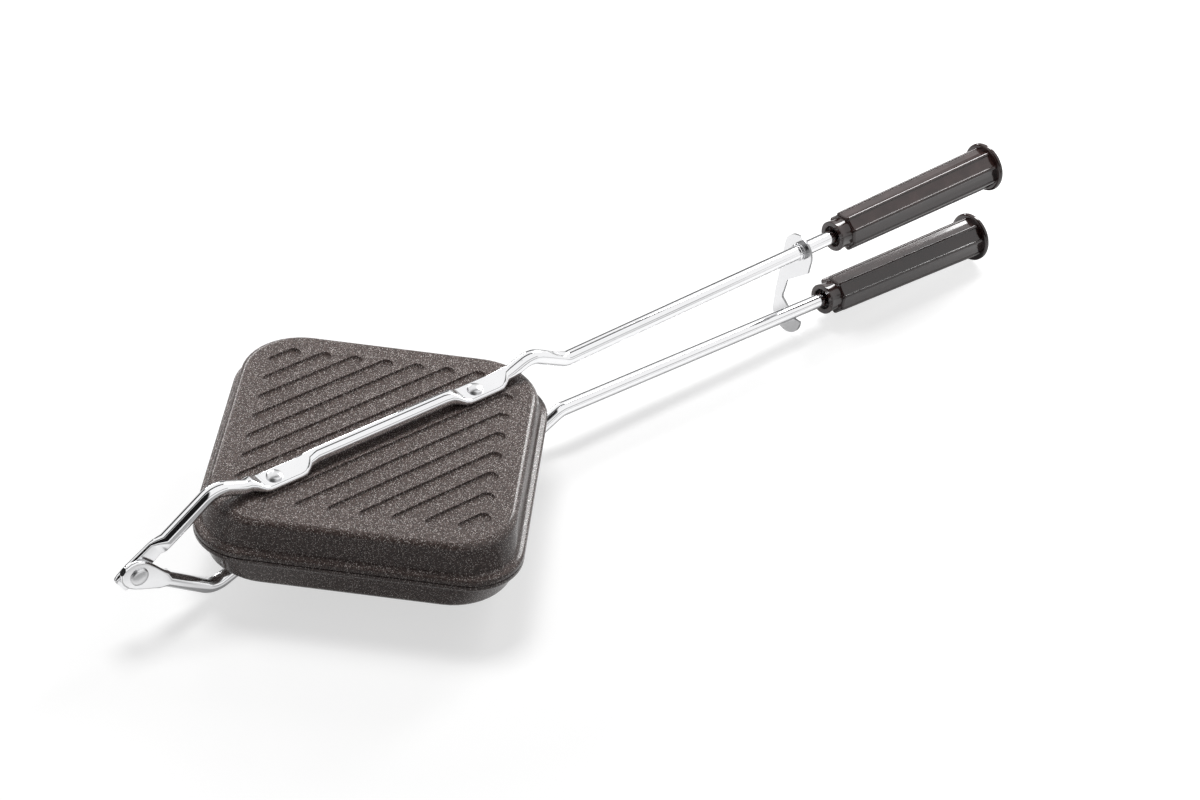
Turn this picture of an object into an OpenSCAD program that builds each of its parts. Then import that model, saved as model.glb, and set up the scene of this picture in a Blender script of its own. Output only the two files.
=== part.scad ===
// Hinged toasting iron: two square pressed plates carried on two bent tubes.
// The tubes are lapped and riveted at the front, and end in two moulded grips.
// A sheet steel hook on the upper tube swings under the lower tube and locks it.
//
// The upper half is modelled once and mirrored about the parting plane.
// While modelling, the plates' centre is the origin, X runs towards the grips,
// Z is up and the parting plane is Z = 0.

/* [Plates] */
// Side of each plate over its rim
plate_side = 144.6; // [136:0.2:156]
// Depth of each plate from the parting plane to its outer face
plate_depth = 17.5; // [15:0.5:22]
// Thickness of the cast wall
plate_wall = 2; // [1.5:0.1:2.6]
// Height of the upright lip at the rim
rim_lip = 2.2; // [1.6:0.1:3]
// How far the wall stands in from the rim
rim_step = 3.1; // [2.4:0.1:4]
// Height of the sloping band between lip and wall
rim_slope = 2.3; // [1.5:0.1:3.2]
// How far the wall leans in between its foot and the outer face
wall_lean = 1.8; // [1:0.1:3]
// Corner radius at the rim
rim_corner = 24.7; // [20:0.1:30]
// Corner radius at the foot of the wall
foot_corner = 22; // [18:0.5:28]
// Corner radius at the outer face
face_corner = 28.5; // [24:0.5:34]
// Round along the edge of the outer face
face_round = 4; // [2.5:0.1:6]

/* [Grooves] */
// Distance between two grooves
groove_pitch = 10; // [9:0.5:13]
// Width of a groove at the face
groove_w = 6; // [4:0.2:7]
// Depth of a groove
groove_depth = 1.6; // [1:0.1:2]
// Flat border between the grooves' ends and the edge of the face
groove_border = 12.2; // [10:0.2:18]

/* [Arms] */
// Outside diameter of the tube
tube_d = 7; // [6:0.1:8]
// Wall of the tube
tube_wall = 1; // [0.8:0.1:1.4]
// Height of the straight tube above the face, between the rivets
tube_lift = 1; // [0.6:0.1:2]
// Height of the front bend's corner above the face
front_rise = 10.1; // [8:0.1:13]
// Height of the rear bend's corner above the face
rear_rise = 8.5; // [7:0.1:11]
// Distance from the plate's rim corner to the hinge
hinge_out = 34; // [30:0.5:44]
// Distance from the plate's rim corner to the valley behind it
valley_out = 16; // [13:0.5:24]
// How far the valley lies below the level of the outer face
valley_drop = 2.5; // [0:0.5:5]
// Slope of the handle run in degrees
handle_slope = 1.4; // [0.6:0.1:2.4]
// Length from the valley to the butt of the grip
handle_len = 278; // [240:1:320]
// Inside radius of the bends, to the middle of the tube
bend_r = 11; // [9:0.5:14]

/* [Pads] */
// Thickness of the flattened tube
pad_t = 2.8; // [2.2:0.1:3.4]
// Width of the flattened tube on the plates
pad_w = 12; // [10:0.5:13]
// Length of each pad
pad_len = 20; // [16:0.5:24]
// Distance from the corner of the outer face to each rivet
rivet_inset = 28.5; // [24:0.5:34]

/* [Rivets] */
// Diameter of the rivets' shanks
shank_d = 4; // [3:0.1:4.6]
// Diameter of the domed heads on the pads
head_d = 7.5; // [6.6:0.1:9]
// Height of the domed heads
head_h = 1.7; // [1.2:0.1:2.2]
// Height of the closed tails inside the plates
tail_h = 1; // [0.6:0.1:1.3]
// Diameter of the hinge rivet's near head
hinge_head_d = 8.6; // [7.6:0.1:10]

/* [Hinge] */
// Thickness of each lug
lug_t = 2.9; // [2.4:0.1:3.3]
// Radius of the lower arm's round lug
lug_r = 8.9; // [7.5:0.1:9.5]
// Width of the upper arm's straight lug
lug_w = 11.6; // [10:0.1:12.5]
// Clearance on each side between the two lugs
lug_play = 0.15; // [0.15:0.05:0.3]

/* [Latch] */
// Thickness of the latch's sheet
latch_t = 1.2; // [1:0.1:1.6]
// Distance from the grips' collars to the latch
latch_gap = 20; // [14:0.5:40]
// Radius of the latch's head
latch_head_r = 9.3; // [8:0.1:11]
// Radius of the latch's hook
latch_hook_r = 9.7; // [8.6:0.1:11]
// Clearance between the hook and the lower tube
latch_play = 0.35; // [0.3:0.05:0.6]
// Height of the collar drawn up round the latch's hole
latch_collar = 2; // [1.5:0.1:3]

/* [Grips] */
// Length of a grip with its collar
grip_len = 108; // [90:1:125]
// Diameter over the ribs at the front of the grip
grip_front_d = 20; // [18:0.1:22]
// Diameter over the ribs at the butt
grip_butt_d = 22; // [20:0.1:24]
// Length of the round collar in front of the grip
collar_len = 8; // [6:0.5:12]
// Diameter of the collar
collar_d = 15.4; // [13.5:0.1:17]
// Diameter of the round flange at the butt
flange_d = 25.2; // [24:0.1:28]
// Thickness of the flange
flange_t = 2.6; // [2:0.1:3.6]
// Height of the ribs along the grip
rib_h = 0.7; // [0.4:0.1:1.2]
// Width of the ribs along the grip
rib_w = 1.3; // [1:0.1:2]

/* [Hidden] */
$fn = 48;

// Clearances
half_gap = 0.15;      // each rim stays this far from the parting plane
rivet_fit = 0.02;     // radial, in the holes that a rivet fills
running_fit = 0.05;   // radial, where a piece turns on another
grip_fit = 0.02;      // radial, between tube and grip
past = 1;             // how far a cut runs past the face it opens

// Plate
half_side = plate_side / 2;
foot_side = half_side - rim_step;
face_side = foot_side - wall_lean;
foot_z = rim_lip + rim_slope;
face_edge = face_round + 2;             // where the flat of the outer face starts, from its edge
corner_cut = sqrt(2) - 1;
rim_diagonal = half_side * sqrt(2) - rim_corner * corner_cut;
face_diagonal = face_side * sqrt(2) - face_corner * corner_cut;
corner_steps = 9;
blend_steps = 3;

// Grooves: the tool that presses them is a rod with round ends
groove_r = (groove_w * groove_w / 4 + groove_depth * groove_depth) / (2 * groove_depth);
groove_axis_z = plate_depth - groove_depth + groove_r;
groove_reach = (face_side - groove_border) * sqrt(2);
groove_count = floor((groove_reach - groove_w) / groove_pitch);

// Arm, in the XZ plane
tube_r = tube_d / 2;
rivet_x = face_diagonal - rivet_inset;
middle_z = plate_depth + tube_lift + tube_r;
hinge_x = -rim_diagonal - hinge_out;
front_bend = [-face_diagonal - 3, plate_depth + front_rise];
hinge_angle = atan2(front_bend[1], front_bend[0] - hinge_x);
tube_sides = 20;
bend_steps = 7;
hidden = 0.05;                           // how far a blend ends below the surface it runs into
pad_step = 7;                            // length over which the round tube becomes a pad
pad_front_x = -rivet_x - pad_len * 0.3;
front_end = [pad_front_x - pad_step, plate_depth + tube_r + 0.6];
middle_front_x = pad_front_x + pad_len + pad_step;
rear_pad_len = pad_len + 3;
pad_rear_x = rivet_x - pad_len * 0.35;
middle_rear_x = pad_rear_x - pad_step;
rear_start = [pad_rear_x + rear_pad_len + 4.5, plate_depth + tube_r + 0.5];
rear_bend = [face_diagonal + 2.9, plate_depth + rear_rise];
valley = [rim_diagonal + valley_out, plate_depth - valley_drop];
valley_r = bend_r * 0.8;
dent_depth = 1.2;                        // pinch left on top of the valley by the bending tool

// Hinge lugs, measured along the arm (u) and across it (w) from the hinge rivet
function hinge_point(u, w = 0) = [
  hinge_x + u * cos(hinge_angle) - w * sin(hinge_angle),
  u * sin(hinge_angle) + w * cos(hinge_angle)
];
lug_end = 13;
lug_step = 6;
lug_tip = 8.6;
lug_half = tube_r * 1.35;                // half the width where the lug becomes a tube

// Handle run: X is given, the height follows from the slope
butt_x = valley[0] + handle_len;
grip_x = butt_x - grip_len;
latch_x = grip_x - latch_gap;
tube_end_x = butt_x - flange_t - 6;
function run_z(x) = valley[1] + (x - valley[0]) * tan(handle_slope);
run_end = [tube_end_x, run_z(tube_end_x)];

// Latch, in its own plane: x is across the iron, y is up, the upper tube is the origin
lower_tube_y = -2 * run_z(latch_x);
latch_bore_r = tube_r + running_fit;
hook_seat_r = tube_r + latch_play;
hook_sweep_r = -lower_tube_y + hook_seat_r;
leg_x = 8;
leg_w = 4.8;
hook_drop = 4.3;                         // hook's centre below the lower tube
bead_r = 0.7;
bead_gap = 0.3;

// Grip
grip_bore_r = tube_r + grip_fit;
grip_sides = 8;
mouth_r = tube_r + 1.7;
mouth_depth = 3;
waist = 0.5;

// Box of the whole iron: its middle and its lowest point become the final origin
lug_outline = [
  [-lug_tip, -lug_w * 0.4],
  [-lug_tip + 1, -lug_w * 0.5],
  [lug_end, -lug_half],
  [lug_end, lug_half],
  [-lug_tip + 2.6, lug_w * 0.58],
  [-lug_tip + 0.4, lug_w * 0.42]
];
lug_low_x = min([for (p = lug_outline) hinge_point(p[0], p[1])[0]]);
x_min = min(lug_low_x, hinge_x - lug_r);
flange_x = grip_x + (grip_len - flange_t / 2) * cos(handle_slope);
flange_ring = (flange_d - flange_t) / 2;
x_max = grip_x + grip_len * cos(handle_slope) + flange_ring * sin(handle_slope);
flange_low = run_z(flange_x) + flange_ring * cos(handle_slope) + flange_t / 2;
latch_low = run_z(latch_x) + hook_drop + latch_hook_r;
z_low = max(flange_low, latch_low);

module placed() {
  translate([-(x_min + x_max) / 2, 0, z_low]) children();
}

module lower() {
  mirror([0, 0, 1]) children();
}

// ---------- lofted plate ----------

// Points round a square with rounded corners, at one level
// level is [half side, corner radius, height]
function square_ring(level) = [
  for (q = [0:3])
    for (i = [0:corner_steps])
      let (a = 90 * q + 90 * i / corner_steps)
      let (c = level[0] - level[1])
      let (sx = (q == 0 || q == 3) ? 1 : -1)
      let (sy = (q < 2) ? 1 : -1)
      [sx * c + level[1] * cos(a), sy * c + level[1] * sin(a), level[2]]
];

// Rounds the profile corner b between a and c, starting a distance d from it
function toward(b, a, d) =
  let (run = norm([a[0] - b[0], a[2] - b[2]]))
  b + (a - b) * min(0.48, d / run);
function rounded(a, b, c, d) =
  let (p = toward(b, a, d))
  let (q = toward(b, c, d))
  [
    for (i = [0:blend_steps])
      let (t = i / blend_steps)
      p * (1 - t) * (1 - t) + b * 2 * t * (1 - t) + q * t * t
  ];

module loft(levels) {
  skin([for (level = levels) square_ring(level)]);
}

rim_foot = [half_side, rim_corner, half_gap];
rim_edge = [half_side, rim_corner, rim_lip];
wall_foot = [foot_side, foot_corner, foot_z];
face_rim = [face_side, face_corner, plate_depth];
face_flat = [face_side - face_edge, face_corner - face_edge, plate_depth];
plate_outside = concat(
  [rim_foot],
  rounded(rim_foot, rim_edge, wall_foot, 0.9),
  rounded(rim_edge, wall_foot, face_rim, 1.7),
  rounded(wall_foot, face_rim, face_flat, face_round)
);

inner_z = plate_depth - plate_wall;
mouth_low = [foot_side - plate_wall + 0.4, foot_corner - plate_wall + 0.4, -past];
mouth_high = [foot_side - plate_wall, foot_corner - plate_wall, foot_z];
floor_rim = [face_side - plate_wall, face_corner - plate_wall, inner_z];
floor_flat = floor_rim - [face_edge, face_edge, 0];
plate_inside = concat(
  [mouth_low, mouth_high],
  rounded(mouth_high, floor_rim, floor_flat, face_round - plate_wall * 0.5)
);

// A rod with round ends along X; tip is how far its ends reach past their centres
// at the level where the groove meets the face
module round_rod(half_l, r, tip) {
  c = half_l - tip;
  rotate([0, 90, 0])
    rotate_extrude()
      intersection() {
        union() {
          translate([0, -c]) square([r, 2 * c]);
          translate([0, -c]) circle(r = r);
          translate([0, c]) circle(r = r);
        }
        translate([0, -c - r]) square([r, 2 * (c + r)]);
      }
}

module plate() {
  difference() {
    union() {
      difference() {
        rotate([0, 0, 45]) loft(plate_outside);
        rotate([0, 0, 45]) loft(plate_inside);
      }
      groove_ribs();
    }
    grooves();
    for (x = [-rivet_x, rivet_x])
      translate([x, 0, inner_z - past])
        cylinder(r = shank_d / 2 + rivet_fit, h = plate_wall + 2 * past);
  }
}

module grooves() {
  for (k = [1:groove_count])
    for (side = [-1, 1])
      translate([0, side * k * groove_pitch, groove_axis_z])
        round_rod(groove_reach - k * groove_pitch, groove_r, groove_w / 2);
}

// Inside the plate each groove stands up as a rib that marks the bread
module groove_ribs() {
  intersection() {
    for (k = [1:groove_count])
      for (side = [-1, 1])
        translate([0, side * k * groove_pitch, groove_axis_z])
          round_rod(groove_reach - k * groove_pitch, groove_r + plate_wall, groove_w / 2);
    translate([-half_side * 2, -half_side * 2, 0])
      cube([half_side * 4, half_side * 4, inner_z + plate_wall / 2]);
  }
}

// ---------- bent tube ----------

module at(p, angle) {
  translate([p[0], 0, p[1]]) rotate([0, -angle, 0]) children();
}

function heading(p, q) = atan2(q[1] - p[1], q[0] - p[0]);
function on_leg(from, to, d) = from + (to - from) * d / norm(to - from);

// How far from its corner b a bend of radius r starts
function bend_reach(a, b, c, r) = r * tan(abs(heading(b, c) - heading(a, b)) / 2);

// A station of the sweep: place, heading, half its width across the iron, half its
// height, how far it stands to the side and how far it is pressed down
function round_at(p, angle) = [p, angle, tube_r, tube_r, 0, 0];
function pad_at(x) = [[x, plate_depth + pad_t / 2], 0, pad_w / 2, pad_t / 2, 0, 0];

// Stations round the bend at corner b; pinch flattens the middle from above
function bend(a, b, c, r, pinch = 0) =
  let (first = heading(a, b))
  let (turn = heading(b, c) - first)
  let (side = sign(turn))
  let (start = on_leg(b, a, bend_reach(a, b, c, r)))
  let (hub = start + side * r * [-sin(first), cos(first)])
  [
    for (i = [0:bend_steps])
      let (angle = first + turn * i / bend_steps)
      let (press = pinch * pow(sin(180 * i / bend_steps), 2))
      [
        hub + side * r * [sin(angle), -cos(angle)],
        angle, tube_r, tube_r - press / 2, 0, press / 2
      ]
  ];

// Points of one station: a box whose corners are rounded as far as they can be,
// so that equal halves make it a circle
function station_ring(st) =
  let (c = min(st[2], st[3]))
  [
    for (i = [0:tube_sides - 1])
      let (a = 360 * (i + 0.5) / tube_sides)
      let (y = sign(cos(a)) * (st[2] - c) + c * cos(a) + st[4])
      let (n = sign(sin(a)) * (st[3] - c) + c * sin(a) - st[5])
      [st[0][0] - n * sin(st[1]), y, st[0][1] + n * cos(st[1])]
  ];

// Closed skin over rings of equally many points, capped by the first and the last
module skin(rings) {
  n = len(rings[0]);
  m = len(rings);
  sides = [
    for (k = [0:m - 2])
      for (i = [0:n - 1])
        let (j = (i + 1) % n)
        each [
          [k * n + i, (k + 1) * n + i, (k + 1) * n + j],
          [k * n + i, (k + 1) * n + j, k * n + j]
        ]
  ];
  first = [[for (i = [0:n - 1]) i]];
  last = [[for (i = [n - 1:-1:0]) (m - 1) * n + i]];
  polyhedron(points = [for (ring = rings) each ring], faces = concat(first, sides, last), convexity = 6);
}

function arm_stations(side) =
  let (lug_y = side * (lug_play + lug_t / 2))
  let (lug_out = hinge_point(lug_end + lug_step))
  let (dip_out = on_leg(valley, run_end, bend_reach(rear_bend, valley, run_end, valley_r)))
  concat(
    [
      [hinge_point(lug_end - 3), hinge_angle, lug_t / 2 - hidden, lug_half - 1, lug_y, 0],
      [hinge_point(lug_end), hinge_angle, lug_t / 2 - hidden, lug_half - hidden, lug_y, 0],
      [hinge_point(lug_end + lug_step * 0.45), hinge_angle, tube_r * 0.72, lug_half, lug_y * 0.4, 0],
      round_at(lug_out, hinge_angle)
    ],
    bend(lug_out, front_bend, front_end, bend_r),
    [
      round_at(front_end, heading(front_bend, front_end)),
      pad_at(pad_front_x),
      pad_at(pad_front_x + pad_len),
      round_at([middle_front_x, middle_z], 0),
      round_at([middle_rear_x, middle_z], 0),
      pad_at(pad_rear_x),
      pad_at(pad_rear_x + rear_pad_len),
      round_at(rear_start, heading(rear_start, rear_bend))
    ],
    bend(rear_start, rear_bend, valley, bend_r),
    bend(rear_bend, valley, run_end, valley_r, dent_depth),
    [
      [dip_out + [1, 0], handle_slope, tube_r - hidden, tube_r - hidden, 0, 0],
      [dip_out + [3, 0], handle_slope, tube_r - 0.5, tube_r - 0.5, 0, 0]
    ]
  );

// Straight lug of the upper arm, squared off at its tip
module straight_lug() {
  polygon(lug_outline);
}

// Round lug of the lower arm, running into the tube along two tangents
module round_lug() {
  lean = asin((lug_r - lug_half) / lug_end);
  circle(r = lug_r);
  polygon([
    [lug_r * sin(lean), lug_r * cos(lean)],
    [lug_end, lug_half / cos(lean)],
    [lug_end, -lug_half / cos(lean)],
    [lug_r * sin(lean), -lug_r * cos(lean)]
  ]);
}

module lug(side) {
  far = side > 0 ? lug_play + lug_t : -lug_play;
  at([hinge_x, 0], hinge_angle)
    translate([0, far, 0])
      rotate([90, 0, 0])
        linear_extrude(lug_t)
          children();
}

// Raised rings rolled into the tube keep the latch in its place
module tube_bead(s) {
  at([latch_x, run_z(latch_x)], handle_slope)
    translate([s, 0, 0])
      rotate([0, 90, 0])
        rotate_extrude()
          translate([tube_r, 0])
            circle(r = bead_r, $fn = 24);
}

// One arm, seen as the upper one; side says where its lug stands and bore_fit
// is the clearance that the lug's hole leaves round the hinge rivet
module arm(side, bore_fit) {
  dip_out = on_leg(valley, run_end, bend_reach(rear_bend, valley, run_end, valley_r));
  run_start = dip_out + [1.5, 1.5 * tan(handle_slope)];
  difference() {
    union() {
      lug(side) children();
      skin([for (st = arm_stations(side)) station_ring(st)]);
      run_tube(run_start, run_end, tube_r);
      if (side > 0) {
        tube_bead(-latch_t / 2 - latch_collar - bead_gap - bead_r);
        tube_bead(latch_t / 2 + bead_gap + bead_r);
      }
    }
    for (x = [-rivet_x, rivet_x])
      translate([x, 0, plate_depth - past])
        cylinder(r = shank_d / 2 + rivet_fit, h = pad_t + 2 * past);
    translate([hinge_x, tube_d, 0])
      rotate([90, 0, 0])
        cylinder(r = shank_d / 2 + bore_fit, h = 2 * tube_d);
    run_tube(run_start + [4, 0], run_end + [past, 0], tube_r - tube_wall);
  }
}

module run_tube(p, q, r) {
  at(p, heading(p, q)) rotate([0, 90, 0]) cylinder(r = r, h = norm(q - p));
}

// ---------- rivets ----------

// Half profile of a low round cap of radius r and height h, on a thin upright edge
module cap_profile(r, h) {
  edge = h * 0.25;
  crown = h - edge;
  ball = (r * r + crown * crown) / (2 * crown);
  square([r, edge]);
  intersection() {
    translate([0, h - ball]) circle(r = ball, $fn = 180);
    translate([0, edge / 2]) square([r, h]);
  }
}

module plate_rivet(x) {
  pad_top = plate_wall + pad_t;
  translate([x, 0, inner_z])
    rotate_extrude() {
      translate([0, -tail_h]) square([shank_d * 0.78, tail_h]);
      translate([0, -tail_h]) square([shank_d / 2, tail_h + pad_top + head_h / 5]);
      translate([0, pad_top]) cap_profile(head_d / 2, head_h);
    }
}

// The far head keeps clear of the upper lug, which turns under it
module hinge_pin() {
  outer = lug_play + lug_t;
  translate([hinge_x, 0, 0])
    rotate([90, 0, 0])
      rotate_extrude() {
        translate([0, -outer - lug_play - head_h / 5])
          square([shank_d / 2, 2 * outer + lug_play + 2 * head_h / 5]);
        translate([0, outer]) cap_profile(hinge_head_d / 2, head_h + 0.2);
        translate([0, -outer - lug_play]) mirror([0, 1]) cap_profile(head_d / 2, head_h * 0.7);
      }
}

// ---------- latch ----------

module latch_outline() {
  head_at = [2.1, -2.2];
  hook_at = [4.4, lower_tube_y - hook_drop];
  leg_out = leg_x + leg_w;
  shoulder_y = -leg_x - 14;
  difference() {
    union() {
      translate(head_at) circle(r = latch_head_r);
      polygon([
        [head_at[0] - latch_head_r, head_at[1]],
        [-leg_x + 1.8, -10.4],
        [leg_x - 1.2, shoulder_y],
        [leg_x, shoulder_y - 3],
        [leg_x, hook_at[1]],
        [hook_at[0] + latch_hook_r, hook_at[1]],
        [leg_out, shoulder_y],
        [leg_out - 0.2, -14.6],
        [head_at[0] + latch_head_r, head_at[1]]
      ]);
      translate(hook_at) circle(r = latch_hook_r);
    }
    circle(r = latch_bore_r);
    translate([0, lower_tube_y]) circle(r = hook_seat_r);
    // the slot follows the swing, so that the hook clears the tube all the way
    intersection() {
      circle(r = hook_sweep_r, $fn = 180);
      translate([-2 * latch_hook_r, lower_tube_y - hook_seat_r])
        square([2 * latch_hook_r, 4 * latch_hook_r + hook_seat_r - 20]);
    }
    polygon([
      [-2 * latch_hook_r, lower_tube_y],
      [hook_seat_r, lower_tube_y],
      [leg_x, lower_tube_y + 3.2],
      [leg_x, hook_at[1] + latch_hook_r + 1],
      [-2 * latch_hook_r, hook_at[1] + latch_hook_r + 1]
    ]);
  }
}

module hook() {
  at([latch_x, run_z(latch_x)], handle_slope) {
    rotate([90, 0, 90])
      linear_extrude(latch_t, center = true)
        latch_outline();
    rotate([0, -90, 0])
      difference() {
        cylinder(r = tube_r + 1.1, h = latch_t / 2 + latch_collar);
        translate([0, 0, -past])
          cylinder(r = latch_bore_r, h = latch_t + latch_collar + 2 * past);
      }
  }
}

// ---------- grips ----------

// One cross-section of the ribbed body, at distance s from the collar's face
function grip_ring(d, s, turn) = [
  for (k = [0:grip_sides - 1])
    let (a = turn + 360 * k / grip_sides)
    let (r = d / 2)
    let (half = rib_w / 2)
    let (face_r = (r - rib_h) * cos(180 / grip_sides) - 0.15)
    each [
      for (p = [[r - rib_h, -half - 0.2], [r, -half * 0.7], [r, half * 0.7], [r - rib_h, half + 0.2]])
        [s, p[0] * cos(a) - p[1] * sin(a), p[0] * sin(a) + p[1] * cos(a)],
      [s, face_r * cos(a + 180 / grip_sides), face_r * sin(a + 180 / grip_sides)]
    ]
];

module ribbed_body(turn) {
  front = collar_len;
  back = grip_len - flange_t * 0.6;
  rings = [
    grip_ring(collar_d - 2.4, front - 1.2, turn),
    grip_ring(grip_front_d - 1.4, front, turn),
    grip_ring(grip_front_d, front + 1, turn),
    grip_ring((grip_front_d + grip_butt_d) / 2 - 0.2, (front + back) / 2, turn),
    grip_ring(grip_butt_d, back, turn)
  ];
  skin(rings);
}

// Round core of the grip along its axis: waisted collar, body and rimmed flange
module core_profile() {
  rim = flange_t / 2;
  difference() {
    square([collar_d / 2, collar_len + past]);
    translate([collar_d / 2 + collar_len * 2 - waist, collar_len * 0.6])
      circle(r = collar_len * 2, $fn = 180);
  }
  square([collar_d / 2 - 2 * waist, grip_len]);
  translate([0, grip_len - flange_t]) {
    square([flange_d / 2 - rim, flange_t]);
    translate([flange_d / 2 - rim, rim]) circle(r = rim, $fn = 24);
  }
}

module grip(turn) {
  at([grip_x, run_z(grip_x)], handle_slope)
    difference() {
      union() {
        ribbed_body(turn);
        rotate([0, 90, 0])
          rotate_extrude()
            core_profile();
      }
      rotate([0, 90, 0])
        rotate_extrude() {
          translate([0, -past]) square([mouth_r, past + mouth_depth]);
          square([grip_bore_r, tube_end_x - grip_x + 1]);
        }
    }
}

// ---------- the pieces ----------

module lower_plate() {
  color("#3b3634") placed() lower() plate();
}

module upper_plate() {
  color("#3b3634") placed() plate();
}

module lower_arm() {
  color("#d9d9dc") placed() lower() arm(-1, rivet_fit) round_lug();
}

module upper_arm() {
  color("#d9d9dc") placed() arm(1, running_fit) straight_lug();
}

module lower_front_rivet() {
  color("#c6c6c8") placed() lower() plate_rivet(-rivet_x);
}

module lower_rear_rivet() {
  color("#c6c6c8") placed() lower() plate_rivet(rivet_x);
}

module upper_front_rivet() {
  color("#c6c6c8") placed() plate_rivet(-rivet_x);
}

module upper_rear_rivet() {
  color("#c6c6c8") placed() plate_rivet(rivet_x);
}

module hinge_rivet() {
  color("#c6c6c8") placed() hinge_pin();
}

module latch() {
  color("#cfcfd2") placed() hook();
}

module lower_grip() {
  color("#2b2422") placed() lower() grip(22.5);
}

module upper_grip() {
  color("#2b2422") placed() grip(13.5);
}

lower_plate();
upper_plate();
lower_arm();
upper_arm();
lower_front_rivet();
lower_rear_rivet();
upper_front_rivet();
upper_rear_rivet();
hinge_rivet();
latch();
lower_grip();
upper_grip();
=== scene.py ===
import math

import bmesh
import bpy
from mathutils import Matrix, Vector


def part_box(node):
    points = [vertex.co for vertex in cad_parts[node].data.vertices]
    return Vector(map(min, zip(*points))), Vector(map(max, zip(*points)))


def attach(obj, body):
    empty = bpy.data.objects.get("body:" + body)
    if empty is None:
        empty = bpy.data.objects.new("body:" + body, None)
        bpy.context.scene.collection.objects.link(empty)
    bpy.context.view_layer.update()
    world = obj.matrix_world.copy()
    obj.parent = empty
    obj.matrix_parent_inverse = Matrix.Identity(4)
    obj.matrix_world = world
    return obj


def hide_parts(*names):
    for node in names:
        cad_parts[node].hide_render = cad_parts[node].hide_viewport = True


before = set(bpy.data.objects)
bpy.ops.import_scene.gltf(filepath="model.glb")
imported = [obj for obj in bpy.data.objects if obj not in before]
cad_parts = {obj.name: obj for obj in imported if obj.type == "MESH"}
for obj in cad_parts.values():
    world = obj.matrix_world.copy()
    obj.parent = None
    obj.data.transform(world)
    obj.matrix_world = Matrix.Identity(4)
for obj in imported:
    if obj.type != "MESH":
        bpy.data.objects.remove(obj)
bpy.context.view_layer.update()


# ---------------------------------------------------------------- camera
# A 92 mm lens looks down on the iron from its hinge end. The real iron lies a
# little tipped on its lower grip, so the camera is rolled instead and the floor
# stays level.
camera_right = Vector((0.7641, -0.6392, 0.0875))
camera_up = Vector((0.3423, 0.5166, 0.7849))
camera_back = Vector((-0.5469, -0.5697, 0.6135))
bpy.ops.object.select_all(action="DESELECT")
bpy.ops.object.camera_add(location=(-0.785366, -0.8266, 0.904358))
camera = bpy.context.object
camera.rotation_euler = Matrix((camera_right, camera_up, camera_back)).transposed().to_euler()
camera.data.lens = 91.98
camera.data.sensor_width = 36
camera.data.clip_start = 0.01
bpy.context.scene.camera = camera


# ---------------------------------------------------------------- plates
# Two square dishes of cast aluminium, 2 mm thick, rim against rim. Seven grooves
# are cast into each side of the outer face and stand up inside as toasting ribs.
# Both are sprayed with a dark grey-brown non-stick coating, flecked with light grains.
upper_low, upper_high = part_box("upper_plate")
centre_x = (upper_low.x + upper_high.x) / 2
parting_z = upper_low.z - 0.00015
plate_depth = 0.0175

# Half side, corner radius and height over the parting plane of each level
rim_foot = (0.0723, 0.0247, 0.00015)
rim_edge = (0.0723, 0.0247, 0.0029)
wall_foot = (0.0690, 0.0218, 0.0036)
face_edge = (0.0674, 0.0285, 0.0175)
inner_floor = (0.0654, 0.0265, 0.0155)
inner_foot = (0.0672, 0.0200, 0.0045)
inner_mouth = (0.0676, 0.0204, 0.00045)

# Steps round a corner of a level, and what counts as nothing
corner_steps = 12
tiny = 0.000001

# Grooves: how far apart, where they would meet the plate's edge, and how far short of it
groove_pitch = 0.010
groove_reach = 0.07806
groove_end = 0.003
stamp_points, stamp_height = 30, 0.003


def open_piece(name):
    """Name the primitive just added, put its place into its mesh and open it."""
    piece = bpy.context.object
    piece.name = name
    piece.data.name = name
    bpy.ops.object.transform_apply(location=True, rotation=True, scale=True)
    bpy.ops.object.mode_set(mode="EDIT")
    bpy.ops.mesh.select_mode(type="VERT")
    return piece


def close_piece():
    """Merge doubles, turn the faces outwards and go back to object mode."""
    bpy.ops.mesh.select_all(action="SELECT")
    bpy.ops.mesh.remove_doubles(threshold=2 * tiny)
    bpy.ops.mesh.normals_make_consistent(inside=False)
    bpy.ops.object.mode_set(mode="OBJECT")


def pick(test):
    """Select the points of the open piece that pass the test."""
    bpy.ops.mesh.select_all(action="DESELECT")
    mesh = bmesh.from_edit_mesh(bpy.context.edit_object.data)
    for point in mesh.verts:
        point.select_set(test(point.co))
    mesh.select_flush_mode()
    bmesh.update_edit_mesh(bpy.context.edit_object.data)


def pick_faces(test):
    """Select the faces of the open piece that pass the test."""
    bpy.ops.mesh.select_mode(type="FACE")
    bpy.ops.mesh.select_all(action="DESELECT")
    mesh = bmesh.from_edit_mesh(bpy.context.edit_object.data)
    for face in mesh.faces:
        face.select_set(test(face))
    bmesh.update_edit_mesh(bpy.context.edit_object.data)


def carve(piece, tool, operation="DIFFERENCE"):
    """Cut the tool out of the piece, or weld it on, and throw the tool away."""
    bpy.ops.object.select_all(action="DESELECT")
    bpy.context.view_layer.objects.active = piece
    piece.select_set(True)
    cut = piece.modifiers.new("carve", "BOOLEAN")
    cut.operation = operation
    cut.object = tool
    cut.solver = "EXACT"
    bpy.ops.object.modifier_apply(modifier=cut.name)
    bpy.data.objects.remove(tool)


def join(pieces):
    """Join the pieces into the first one."""
    bpy.ops.object.select_all(action="DESELECT")
    for piece in pieces:
        piece.select_set(True)
    bpy.context.view_layer.objects.active = pieces[0]
    bpy.ops.object.join()
    return pieces[0]


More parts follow.
